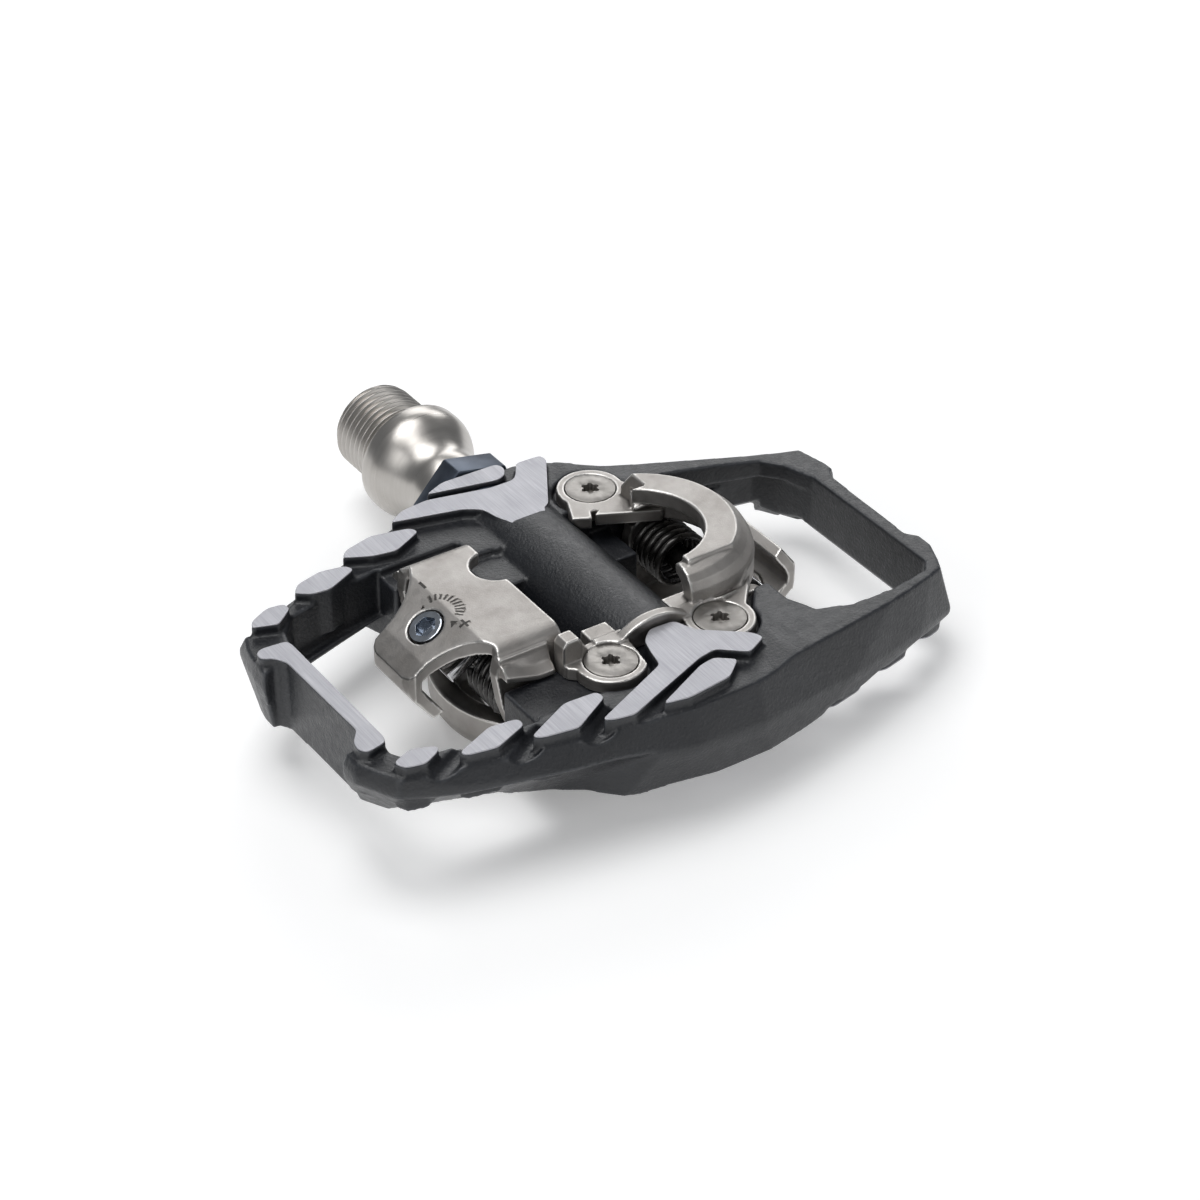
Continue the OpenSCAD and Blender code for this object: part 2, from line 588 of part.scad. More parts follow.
spindle();
spindle_seal();
lock_nut();
inboard_bush();
bearing_sleeve();
inner_balls();
outer_balls();
bearing_cone();
cone_washer();
cone_lock_nut();
pedal_body();
top_claw_plate();
top_plate_screws();
top_binding();
top_pivot_pin();
top_spring_inboard();
top_spring_outboard();
top_tension_bolt();
top_tension_nut();
bottom_claw_plate();
bottom_plate_screws();
bottom_binding();
bottom_pivot_pin();
bottom_spring_inboard();
bottom_spring_outboard();
bottom_tension_bolt();
bottom_tension_nut();
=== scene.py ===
"""Looks of a double-sided clipless trail pedal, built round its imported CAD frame."""
import bpy
import bmesh
import json
import math
import numpy as np
from mathutils import Matrix, Vector
from mathutils.bvhtree import BVHTree


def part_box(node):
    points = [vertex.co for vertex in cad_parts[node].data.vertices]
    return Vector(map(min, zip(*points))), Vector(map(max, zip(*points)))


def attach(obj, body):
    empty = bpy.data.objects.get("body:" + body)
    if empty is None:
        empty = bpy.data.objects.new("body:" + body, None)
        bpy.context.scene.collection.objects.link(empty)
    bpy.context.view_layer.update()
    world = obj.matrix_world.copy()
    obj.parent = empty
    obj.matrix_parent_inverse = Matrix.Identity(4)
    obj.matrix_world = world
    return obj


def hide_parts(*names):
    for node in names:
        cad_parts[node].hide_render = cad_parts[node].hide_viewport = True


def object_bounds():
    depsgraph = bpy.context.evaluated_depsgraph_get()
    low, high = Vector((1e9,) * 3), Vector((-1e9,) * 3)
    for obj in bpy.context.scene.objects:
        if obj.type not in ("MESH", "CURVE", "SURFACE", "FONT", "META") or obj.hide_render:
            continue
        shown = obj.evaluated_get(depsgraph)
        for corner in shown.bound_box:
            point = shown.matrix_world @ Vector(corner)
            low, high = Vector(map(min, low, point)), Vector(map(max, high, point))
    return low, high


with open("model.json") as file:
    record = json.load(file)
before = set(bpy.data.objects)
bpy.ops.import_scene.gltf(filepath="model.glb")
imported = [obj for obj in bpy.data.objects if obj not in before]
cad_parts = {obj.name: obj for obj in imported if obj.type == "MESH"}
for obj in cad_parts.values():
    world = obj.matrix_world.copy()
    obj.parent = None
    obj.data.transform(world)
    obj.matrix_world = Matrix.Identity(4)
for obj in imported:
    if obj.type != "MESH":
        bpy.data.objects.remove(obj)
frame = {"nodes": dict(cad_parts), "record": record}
cad_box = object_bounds()

MM = 0.001
SCENE = bpy.context.scene
NODES = frame["nodes"]
BODY_OF = {n: b for b, names in frame["record"]["behaviour"]["bodies"].items() for n in names}
CENTRE = Vector((0, -50 * MM, 0))       # the middle of the cleat, on the spindle axis
HALF_TURN = Matrix.Rotation(math.pi, 4, "Y")
FACES = (("top", Matrix.Identity(4)), ("bottom", HALF_TURN))

# lengths in millimetres, unless a line multiplies them by MM
PAD_Z = 7.5                             # the pads' tops, above the spindle axis
BINDING_Z = 10.5                        # where a dial mark lies if there is no plate under it
WELD = 0.002 * MM                       # CAD vertices closer than this are one
CAGE_VOXEL = 0.27
PLATE_VOXEL = 0.17
FLAT_ANGLE = math.radians(1)            # faces that meet at less than this are one face


# ---------------------------------------------------------------- small helpers
def either_face(node):
    """A node's name without the face it is on."""
    return node.removeprefix("top_").removeprefix("bottom_")


def new_piece(name, mesh):
    piece = bpy.data.objects.new(name, mesh)
    SCENE.collection.objects.link(piece)
    return piece


def finished(bm, name):
    """The mesh that a bmesh has become."""
    mesh = bpy.data.meshes.new(name)
    bm.to_mesh(mesh)
    bm.free()
    return mesh


def place(piece, node, material, replaces=True):
    """Put a finished piece on the body of the CAD node it belongs to."""
    piece.data.materials.clear()
    piece.data.materials.append(material)
    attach(piece, BODY_OF[node])
    if replaces:
        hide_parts(node)


def cad_copy(node):
    """The welded mesh of a CAD node, free to be changed."""
    mesh = NODES[node].data.copy()
    bm = bmesh.new()
    bm.from_mesh(mesh)
    bmesh.ops.remove_doubles(bm, verts=bm.verts, dist=WELD)
    bm.to_mesh(mesh)
    bm.free()
    return mesh


def apply_modifiers(piece):
    depsgraph = bpy.context.evaluated_depsgraph_get()
    mesh = bpy.data.meshes.new_from_object(piece.evaluated_get(depsgraph))
    piece.modifiers.clear()
    piece.data = mesh


def soften(name, node, voxel, rounds, keep, extra=None):
    """A forged or blasted version of a CAD node: its solid, with any extra ones, its edges run round.

    voxel is the remesh's step, rounds says how often it is smoothed, keep how many of its faces stay.
    """
    mesh = cad_copy(node)
    if extra is not None:
        bm = bmesh.new()
        bm.from_mesh(mesh)
        extra(bm)
        bm.to_mesh(mesh)
        bm.free()
    piece = new_piece(name, mesh)
    remesh = piece.modifiers.new("remesh", "REMESH")
    remesh.mode = "VOXEL"
    remesh.voxel_size = voxel * MM
    smooth = piece.modifiers.new("smooth", "SMOOTH")
    smooth.factor = 0.5
    smooth.iterations = rounds
    decimate = piece.modifiers.new("decimate", "DECIMATE")
    decimate.ratio = keep
    apply_modifiers(piece)
    piece.data.shade_smooth()
    mark_curvature(piece.data)
    return piece


def mark_curvature(mesh):
    """Vertex value: 0.5 on flats, towards 1 on outer edges, 0 in inner corners; masks polish, painted
    highlight and shade.
    """
    rounds, flat, gain = 3, 0.5, 2.2
    count = len(mesh.vertices)
    points = np.empty(count * 3)
    normals = np.empty(count * 3)
    mesh.vertices.foreach_get("co", points)
    mesh.vertex_normals.foreach_get("vector", normals)
    points, normals = points.reshape(-1, 3), normals.reshape(-1, 3)
    edges = np.empty(len(mesh.edges) * 2, int)
    mesh.edges.foreach_get("vertices", edges)
    a, b = edges.reshape(-1, 2).T
    along = points[b] - points[a]
    length = np.linalg.norm(along, axis=1) + 1e-9
    bend = ((normals[b] - normals[a]) * along).sum(1) / length
    total = np.bincount(a, bend, count) + np.bincount(b, bend, count)
    degree = np.bincount(a, minlength=count) + np.bincount(b, minlength=count)
    value = total / np.maximum(degree, 1)
    for _ in range(rounds):
        spread = np.bincount(a, value[b], count) + np.bincount(b, value[a], count)
        value = 0.5 * value + 0.5 * spread / np.maximum(degree, 1)
    curvature = np.clip(flat + gain * value, 0, 1)
    mesh.attributes.new("curvature", "FLOAT", "POINT").data.foreach_set("value", curvature.astype(np.float32))


def bevelled(node, width):
    """Soft edges, width millimetres wide, on a CAD node that is shown as it is."""
    piece = NODES[node]
    weld = piece.modifiers.new("weld", "WELD")
    weld.merge_threshold = WELD
    bevel = piece.modifiers.new("bevel", "BEVEL")
    bevel.width = width * MM
    bevel.segments = 2
    bevel.limit_method = "ANGLE"
    bevel.angle_limit = math.radians(30)
    bevel.harden_normals = True
    piece.data.shade_smooth()


def tube(path, radius):
    """A closed round tube along a list of points."""
    sides = 14
    bm = bmesh.new()
    rings = []
    side = None
    for i, p in enumerate(path):
        ahead = (path[min(i + 1, len(path) - 1)] - path[max(i - 1, 0)]).normalized()
        if side is None:
            side = ahead.orthogonal().normalized()
        side = (side - ahead * side.dot(ahead)).normalized()
        up = ahead.cross(side)
        turn = [2 * math.pi * k / sides for k in range(sides)]
        rings.append([bm.verts.new(p + radius * (math.cos(t) * side + math.sin(t) * up)) for t in turn])
    for low, high in zip(rings, rings[1:]):
        for k in range(sides):
            bm.faces.new((low[k], low[(k + 1) % sides], high[(k + 1) % sides], high[k]))
    bm.faces.new(rings[0][::-1])
    bm.faces.new(rings[-1])
    bmesh.ops.recalc_face_normals(bm, faces=bm.faces)
    mesh = finished(bm, "tube")
    mesh.shade_smooth()
    return mesh


# ---------------------------------------------------------------- materials
class Look:
    """One procedural material. Lengths inside it are object-space metres."""

    def __init__(self, name, metallic, specular=0.5, coat=0.0):
        self.material = bpy.data.materials.new(name)
        self.material.use_nodes = True
        self.tree = self.material.node_tree
        self.shader = self.tree.nodes["Principled BSDF"]
        self.shader.inputs["Metallic"].default_value = metallic
        self.shader.inputs["Specular IOR Level"].default_value = specular
        self.shader.inputs["Coat Weight"].default_value = coat
        self.shader.inputs["Coat Roughness"].default_value = 0.2
        self.where = self.node("ShaderNodeTexCoord").outputs["Object"]
        self.bump = None

    def node(self, kind, **values):
        made = self.tree.nodes.new(kind)
        for key, value in values.items():
            setattr(made, key, value)
        return made

    def wire(self, source, target):
        self.tree.links.new(source, target)

    def scaled(self, scale):
        mapping = self.node("ShaderNodeMapping")
        mapping.inputs["Scale"].default_value = scale
        self.wire(self.where, mapping.inputs["Vector"])
        return mapping.outputs["Vector"]

    def noise(self, size, detail=3.0, stretch=None, rough=0.55):
        """Noise whose features are about size millimetres across."""
        made = self.node("ShaderNodeTexNoise")
        made.inputs["Scale"].default_value = 1 / (size * MM)
        made.inputs["Detail"].default_value = detail
        made.inputs["Roughness"].default_value = rough
        self.wire(self.scaled(stretch) if stretch else self.where, made.inputs["Vector"])
        return made.outputs["Fac"]

    def cells(self, size):
        """Distance to the nearest of scattered points about size millimetres apart."""
        made = self.node("ShaderNodeTexVoronoi")
        made.inputs["Scale"].default_value = 1 / (size * MM)
        self.wire(self.where, made.inputs["Vector"])
        return made.outputs["Distance"]

    def ramp(self, value, stops):
        """A colour that runs with value between two stops, each a place and a colour."""
        made = self.node("ShaderNodeValToRGB")
        for element, (at, colour) in zip(made.color_ramp.elements, stops):
            element.position = at
            element.color = (*colour, 1)
        self.wire(value, made.inputs["Fac"])
        return made.outputs["Color"]

    def span(self, value, low, high, start=0.3, end=0.7):
        """value, stretched so that start to end becomes low to high, and held there beyond."""
        made = self.node("ShaderNodeMapRange")
        for key, number in (("From Min", start), ("From Max", end), ("To Min", low), ("To Max", high)):
            made.inputs[key].default_value = number
        self.wire(value, made.inputs["Value"])
        return made.outputs["Result"]

    def blend(self, factor, under, over):
        """The colour under, replaced by the plain colour over as factor goes to 1."""
        made = self.node("ShaderNodeMix", data_type="RGBA")
        self.wire(factor, made.inputs["Factor"])
        self.wire(under, made.inputs[6])
        made.inputs[7].default_value = (*over, 1)
        return made.outputs[2]

    def relief(self, height, depth, strength):
        """Adds a layer of bump, depth millimetres deep."""
        made = self.node("ShaderNodeBump")
        made.inputs["Strength"].default_value = strength
        made.inputs["Distance"].default_value = depth * MM
        self.wire(height, made.inputs["Height"])
        if self.bump is not None:
            self.wire(self.bump, made.inputs["Normal"])
        self.bump = made.outputs["Normal"]

    def curvature(self):
        """The vertex value that mark_curvature leaves."""
        return self.node("ShaderNodeAttribute", attribute_name="curvature").outputs["Fac"]

    def done(self, colour, roughness):
        self.wire(colour, self.shader.inputs["Base Color"])
        self.wire(roughness, self.shader.inputs["Roughness"])
        if self.bump is not None:
            self.wire(self.bump, self.shader.inputs["Normal"])
        return self.material


def forged_black():
    look = Look("forged_black", metallic=0.0, specular=0.6)
    cloud = look.noise(9, 4)
    colour = look.ramp(cloud, [(0.3, (0.0065, 0.0075, 0.0100)), (0.7, (0.0115, 0.0130, 0.0165))])
    # painted highlight: the outer edges are lightened towards a bluish grey
    painted_edge_highlight = look.span(look.curvature(), 0.0, 0.55, 0.66, 0.95)
    colour = look.blend(painted_edge_highlight, colour, (0.050, 0.054, 0.062))
    look.relief(look.noise(0.42, 4, rough=0.65), 0.10, 0.75)
    look.relief(look.cells(0.55), 0.06, 0.5)
    return look.done(colour, look.span(look.noise(1.4, 5), 0.30, 0.46))


def machined_pad():
    look = Look("machined_pad", metallic=1.0)
    lines = look.noise(0.16, 3, stretch=(1.0, 0.02, 1.0))
    swirl = look.noise(7, 3)
    colour = look.ramp(swirl, [(0.3, (0.42, 0.42, 0.445)), (0.7, (0.49, 0.49, 0.515))])
    colour = look.blend(look.span(lines, 0.0, 0.6), colour, (0.33, 0.33, 0.36))
    look.relief(lines, 0.010, 0.4)
    return look.done(colour, look.span(lines, 0.46, 0.60))


def blasted_steel():
    look = Look("blasted_steel", metallic=1.0)
    patch = look.noise(6, 4)
    colour = look.ramp(patch, [(0.3, (0.33, 0.312, 0.295)), (0.7, (0.43, 0.412, 0.395))])
    edge = look.span(look.curvature(), 0.0, 0.85, 0.60, 0.82)
    colour = look.blend(edge, colour, (0.66, 0.645, 0.62))
    # painted shade: inner corners are darkened towards a dark brownish grey
    painted_corner_shade = look.span(look.curvature(), 0.7, 0.0, 0.15, 0.42)
    colour = look.blend(painted_corner_shade, colour, (0.075, 0.068, 0.060))
    look.relief(look.noise(0.22, 3, rough=0.7), 0.035, 0.6)
    look.relief(look.cells(0.32), 0.02, 0.4)
    grain = look.span(look.noise(1.2, 4), 0.42, 0.54)
    polished = look.node("ShaderNodeMath", operation="MULTIPLY_ADD")
    look.wire(edge, polished.inputs[0])
    polished.inputs[1].default_value = -0.16
    look.wire(grain, polished.inputs[2])
    return look.done(colour, polished.outputs[0])


def turned_steel():
    """Satin steel turned about the spindle: rings run round the Y axis."""
    look = Look("turned_steel", metallic=1.0)
    rings = look.noise(0.25, 2, stretch=(0.01, 1.0, 0.01))
    patch = look.noise(8, 3)
    colour = look.ramp(patch, [(0.3, (0.43, 0.41, 0.385)), (0.7, (0.53, 0.51, 0.485))])
    colour = look.blend(look.span(rings, 0.0, 0.22), colour, (0.36, 0.34, 0.32))
    look.relief(look.noise(0.3, 3), 0.006, 0.35)
    return look.done(colour, look.span(rings, 0.27, 0.36))


def screw_steel():
    look = Look("screw_steel", metallic=1.0)
    patch = look.noise(3, 4)
    colour = look.ramp(patch, [(0.3, (0.25, 0.24, 0.225)), (0.7, (0.33, 0.315, 0.30))])
    look.relief(look.noise(0.2, 3), 0.02, 0.5)
    return look.done(colour, look.span(look.noise(0.8, 4), 0.34, 0.46))


def anodised():
    look = Look("anodised", metallic=0.9)
    patch = look.noise(4, 4)
    colour = look.ramp(patch, [(0.3, (0.060, 0.072, 0.095)), (0.7, (0.100, 0.118, 0.150))])
    look.relief(look.noise(0.25, 3), 0.015, 0.5)
    return look.done(colour, look.span(look.noise(1.0, 4), 0.30, 0.40))


def chrome(name, tint):
    look = Look(name, metallic=1.0)
    stain = look.noise(1.6, 4)
    colour = look.ramp(stain, [(0.35, tuple(0.78 * c for c in tint)), (0.65, tint)])
    look.relief(look.noise(0.5, 2), 0.006, 0.4)
    return look.done(colour, look.span(look.noise(0.7, 3), 0.08, 0.20))


def oily_black():
    look = Look("oily_black", metallic=0.85, coat=0.5)
    stain = look.noise(1.1, 4)
    colour = look.ramp(stain, [(0.3, (0.022, 0.021, 0.020)), (0.7, (0.060, 0.057, 0.054))])
    look.relief(look.noise(0.6, 2), 0.008, 0.3)
    return look.done(colour, look.span(look.noise(1.2, 3), 0.24, 0.36))


def rubber():
    look = Look("rubber", metallic=0.0, specular=0.4)
    colour = look.ramp(look.noise(1.5, 4), [(0.3, (0.012, 0.012, 0.012)), (0.7, (0.028, 0.028, 0.028))])
    look.relief(look.noise(0.2, 3), 0.02, 0.6)
    return look.done(colour, look.span(look.noise(1.0, 3), 0.55, 0.72))


def resin():
    look = Look("resin", metallic=0.0)
    colour = look.ramp(look.noise(2.5, 4), [(0.3, (0.60, 0.57, 0.50)), (0.7, (0.70, 0.67, 0.60))])
    look.relief(look.noise(0.3, 3), 0.01, 0.4)
    return look.done(colour, look.span(look.noise(1.2, 3), 0.38, 0.52))


def engraved_dark():
    look = Look("engraved_dark", metallic=0.3)
    colour = look.ramp(look.noise(0.4, 3), [(0.3, (0.030, 0.028, 0.026)), (0.7, (0.085, 0.080, 0.075))])
    look.relief(look.noise(0.15, 3), 0.02, 0.6)
    return look.done(colour, look.span(look.noise(0.5, 3), 0.5, 0.7))


FORGED, MACHINED, BLASTED, TURNED = forged_black(), machined_pad(), blasted_steel(), turned_steel()
SCREW, ANODISED, OILY = screw_steel(), anodised(), oily_black()
BOLT_CHROME = chrome("bolt_chrome", (0.62, 0.66, 0.72))
NUT_CHROME = chrome("nut_chrome", (0.82, 0.82, 0.84))
RUBBER, RESIN, DARK_MARK = rubber(), resin(), engraved_dark()


# ---------------------------------------------------------------- cage
def cage():
    """The forging: the whole pedal body with the softest edges of all the pieces."""
    casting = soften("cage_casting", "pedal_body", CAGE_VOXEL, rounds=6, keep=0.25)
    place(casting, "pedal_body", FORGED)


def round_outline(bm, step, rounds):
    """Runs the corners of flat faces round: outer edges are cut into short steps, then evened out."""
    bmesh.ops.dissolve_limit(bm, angle_limit=FLAT_ANGLE, verts=bm.verts, edges=bm.edges)
    for edge in list(bm.edges):
        cuts = int(edge.calc_length() / step)
        if edge.is_boundary and cuts:
            bmesh.ops.subdivide_edges(bm, edges=[edge], cuts=cuts)
    rim = [v for v in bm.verts if v.is_boundary]
    for _ in range(rounds):
        moved = {}
        for v in rim:
            beside = [e.other_vert(v).co for e in v.link_edges if e.is_boundary]
            moved[v] = v.co.lerp(sum(beside, Vector()) / len(beside), 0.5)
        for v, co in moved.items():
            v.co = co


def machined_pads(face, turn):
    """The milled tops of the pads of one face, as thin crisp-edged plates let into the forging."""
    margin, proud, thick, edge = 0.10 * MM, 0.035 * MM, 0.22 * MM, 0.05 * MM
    level = 0.995                       # an upward normal's z, for a face that counts as level
    sliver = 3e-6                       # square metres: the inset's border faces are smaller
    bm = bmesh.new()
    bm.from_mesh(cad_copy("pedal_body"))
    bm.transform(turn)
    bm.normal_update()                  # transform leaves the face normals stale
    # the lower pads thin towards the front bar, so their tops lie between two heights
    low, high = (PAD_Z - 1.15) * MM, (PAD_Z + 0.02) * MM

    def is_top(f):
        return f.normal.z > level and all(low < v.co.z < high for v in f.verts)

    def is_border(f):
        small = len(f.verts) == 4 and f.calc_area() < sliver
        return small and any(e.is_boundary for e in f.edges)

    bmesh.ops.delete(bm, geom=[f for f in bm.faces if not is_top(f)], context="FACES")
    bmesh.ops.dissolve_limit(bm, angle_limit=FLAT_ANGLE, verts=bm.verts, edges=bm.edges)
    bmesh.ops.inset_region(bm, faces=bm.faces, thickness=margin, depth=0, use_even_offset=True)
    bmesh.ops.delete(bm, geom=[f for f in bm.faces if is_border(f)], context="FACES")
    round_outline(bm, step=0.3 * MM, rounds=7)
    for v in bm.verts:
        v.co.z += proud
    bm.transform(turn.inverted())
    bm.normal_update()
    piece = new_piece("machined_pads_" + face, finished(bm, "pads_" + face))
    solid = piece.modifiers.new("thickness", "SOLIDIFY")
    solid.thickness = thick
    solid.offset = -1
    bevel = piece.modifiers.new("bevel", "BEVEL")
    bevel.width = edge
    bevel.segments = 2
    apply_modifiers(piece)
    place(piece, "pedal_body", MACHINED, replaces=False)


# ---------------------------------------------------------------- bindings and claws
def prism(bm, outline, surface, low, high):
    """A short prism over an outline: its floor and its roof follow the plate, low and high above it."""
    bottom, top = [], []
    for x, y in outline:
        z = surface(x, y)
        bottom.append(bm.verts.new((x * MM, y * MM, z + low * MM)))
        top.append(bm.verts.new((x * MM, y * MM, z + high * MM)))
    count = len(outline)
    bm.faces.new(bottom[::-1])
    bm.faces.new(top)
    for i in range(count):
        j = (i + 1) % count
        bm.faces.new((bottom[i], bottom[j], top[j], top[i]))


def skin(bm, turn, sections):
    """A closed solid through a row of closed sections, in millimetres from the middle of the cleat."""
    to_place = Matrix.Translation(CENTRE) @ turn.inverted()
    loops = [[bm.verts.new(to_place @ (Vector(p) * MM)) for p in section] for section in sections]
    sides = [bm.faces.new(loops[0][::-1]), bm.faces.new(loops[-1])]
    for one, two in zip(loops, loops[1:]):
        for k in range(len(one)):
            j = (k + 1) % len(one)
            sides.append(bm.faces.new((one[k], one[j], two[j], two[k])))
    bmesh.ops.recalc_face_normals(bm, faces=sides)


def stroke(start, end, width):
    """The outline of a straight stroke between two points."""
    a, b = Vector(start), Vector(end)
    side = (b - a).orthogonal().normalized() * width / 2
    return [tuple(p) for p in (a - side, b - side, b + side, a + side)]


def dial_outlines():
    """A fan of ticks between a minus and a plus, with an arrowhead at each end."""
    centre = Vector((-25.7, 0.0))
    ticks, first, swing = 11, 72, 122   # the fan starts at an angle of first degrees and turns by swing
    inner, outer, outer_middle = 2.75, 3.9, 4.1
    thin, thick = 0.24, 0.34
    outlines = []
    for i in range(ticks):              # the middle ticks are a little longer
        angle = math.radians(first - swing * i / (ticks - 1))
        ray = Vector((math.cos(angle), math.sin(angle)))
        reach = outer_middle if 2 < i < 9 else outer
        outlines.append(stroke(centre + inner * ray, centre + reach * ray, thin))
    outlines.append(stroke((-24.05, 7.1), (-24.05, 5.5), thick))
    plus, arm = Vector((-23.9, -4.7)), 0.85
    along, across, gap = Vector((0, arm)), Vector((arm, 0)), Vector((thick / 2, 0))
    outlines.append(stroke(plus - along, plus + along, thick))
    outlines.append(stroke(plus - across, plus - gap, thick))
    outlines.append(stroke(plus + gap, plus + across, thick))
    outlines.append([(-25.9, 3.3), (-25.9, 2.2), (-26.8, 2.6)])
    outlines.append([(-24.9, -2.7), (-24.4, -3.5), (-25.5, -3.6)])
    return outlines


def leg_section(x):
    """The section of a binding's flared leg at x, as y and z: its lower lip rises towards the rear."""
    rise_from, slope = -18.5, 0.29
    low = 4.95 + slope * max(0, rise_from - x)
    return [(12.0, 9.2), (13.2, 9.2), (13.4, 8.4), (14.0, low + 1.9), (14.8, low + 1.2),
            (15.2, low + 0.8), (15.2, low), (12.0, low)]


def binding(face, turn):
    """The sprung binding: pressed plate with flared legs, and a dial cut into it and filled dark."""
    node = face + "_binding"

    def flared_legs(bm):
        rear, step = -23.8, 0.98
        stations = [rear + step * i for i in range(9)]
        for side in (-1, 1):
            skin(bm, turn, [[(x, side * y, z) for y, z in leg_section(x)] for x in stations])

    name = face + "_binding_plate"
    piece = soften(name, node, PLATE_VOXEL, rounds=5, keep=0.6, extra=flared_legs)
    back = Matrix.Translation(CENTRE) @ turn.inverted()
    upright = piece.data.copy()
    upright.transform(turn @ Matrix.Translation(-CENTRE))
    bm = bmesh.new()
    bm.from_mesh(upright)
    tree = BVHTree.FromBMesh(bm)
    bm.free()

    def surface(x, y):
        above = Vector((x * MM, y * MM, 30 * MM))
        hit = tree.ray_cast(above, Vector((0, 0, -1)))[0]
        return hit.z if hit else BINDING_Z * MM

    def marks(mesh_name, low, high):
        bm = bmesh.new()
        for outline in dial_outlines():
            prism(bm, outline, surface, low, high)
        bmesh.ops.recalc_face_normals(bm, faces=bm.faces)
        bm.transform(back)
        return new_piece(mesh_name, finished(bm, mesh_name))

    cutter = marks(face + "_dial_cutter", low=-0.16, high=0.8)
    cut = piece.modifiers.new("engrave", "BOOLEAN")
    cut.operation = "DIFFERENCE"
    cut.object = cutter
    cut.solver = "MANIFOLD"
    apply_modifiers(piece)
    bpy.data.objects.remove(cutter)
    piece.data.set_sharp_from_angle(angle=math.radians(40))
    place(piece, node, BLASTED)
    fills = marks(face + "_dial_marks", low=-0.26, high=-0.05)
    place(fills, node, DARK_MARK, replaces=False)


def hood_section(angle):
    """The pressed hood's closed section at one angle, as radius and height. Both ends fall away."""
    inner, base = 9, 4.75
    # near runs from 0 to 1 over the last 40 degrees at one end, far over the last 30 at the other
    near = min(1, max(0, (-55 - angle) / 40))
    far = min(1, max(0, (angle - 34) / 30))
    narrow = 1 - 0.24 * near
    height = (1 - 0.10 * near) * (1 - 0.42 * far * far * (3 - 2 * far))
    section = [(16.0, base), (16.0, 7.8), (15.75, 9.2), (15.0, 10.5), (13.8, 11.4), (12.3, 11.88),
               (10.8, 11.98), (9.6, 11.6), (9.3, 10.9), (9.8, 10.1), (11.2, 9.5), (12.3, 8.6),
               (12.8, 7.2), (12.8, base)]
    return [(inner + (r - inner) * narrow, base + (z - base) * height) for r, z in section]


def on_circle(radius, degrees):
    angle = math.radians(degrees)
    return radius * math.cos(angle), radius * math.sin(angle)


def claw(face, turn):
    """The claw plate with its pressed hood, and an arch over the end of the axle housing."""
    node = face + "_claw_plate"

    def hood_and_arch(bm):
        middle = 9                      # x of the hood's axis
        sections = []
        for angle in range(-96, 65, 4):
            around = [(*on_circle(r, angle), z) for r, z in hood_section(angle)]
            sections.append([(middle + x, y, z) for x, y, z in around])
        skin(bm, turn, sections)
        housing, outboard, inboard = 9.0, -16.2, -14.5
        rim = [on_circle(housing, angle) for angle in range(32, 149, 4)]
        skin(bm, turn, [[(x, y, z) for x, z in rim] for y in (outboard, inboard)])

    piece = soften(face + "_claw", node, PLATE_VOXEL, rounds=5, keep=0.6, extra=hood_and_arch)
    place(piece, node, BLASTED)


# ---------------------------------------------------------------- springs
def spring(face, turn, side_name):
    """A torsion spring: turns round the pin, with a short leg down at one end and up at the other."""
    node = "{}_spring_{}".format(face, side_name)
    low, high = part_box(node)
    wire, leg, turns = 0.6 * MM, 1.6 * MM, 5
    steps = 28 * turns                  # points on the path
    mean = (high.z - low.z) / 2 - wire
    pin = Vector(((low.x + high.x) / 2, 0, 0))
    start, end = low.y + wire, high.y - wire
    outward = 1 if turn == HALF_TURN else -1
    path = []
    for i in range(steps + 1):
        t = i / steps
        angle = 2 * math.pi * turns * t
        y = start + (end - start) * t
        path.append(pin + Vector((mean * math.cos(angle) * outward, y, mean * math.sin(angle))))
    path.insert(0, path[0] + Vector((0, 0, -leg)))
    path.append(path[-1] + Vector((0, 0, leg)))
    place(new_piece(node + "_coil", tube(path, wire)), node, OILY)


# ---------------------------------------------------------------- spindle
TIP_RADIUS = 6.44                       # where the thread's chamfer meets the end face


def bell(t):
    """The shoulder's radius as t runs from its neck, 0, to its widest, 1."""
    neck, growth = 6.1, 3.1
    return neck + growth * (0.5 - 0.5 * math.cos(math.pi * t))


def thread_radius(y, turned, end):
    """The thread's radius at y and at a share, turned, of a whole turn, with a chamfer at its end."""
    pitch, depth, crest = 1.27, 0.72, 7.144
    crest_flat, flank = 0.12, 0.72      # shares of half a pitch
    runout_from, runout = 0.35, 0.9     # the groove is shallower next to the seat
    chamfer = 0.95                      # how fast the radius grows away from the end
    phase = (y / pitch - turned) % 1.0
    across = 1 - abs(2 * phase - 1)
    groove = min(1, max(0, (across - crest_flat) / flank))
    run = min(1, max(0, (y - runout_from) / runout))
    return min(crest - depth * groove * run, TIP_RADIUS + (end - y) * chamfer)


def hexagon(angle, across):
    """The radius, at an angle, of a hexagon that measures across over its flats."""
    sector = (angle + math.pi / 6) % (math.pi / 3) - math.pi / 6
    return across / 2 / math.cos(sector)


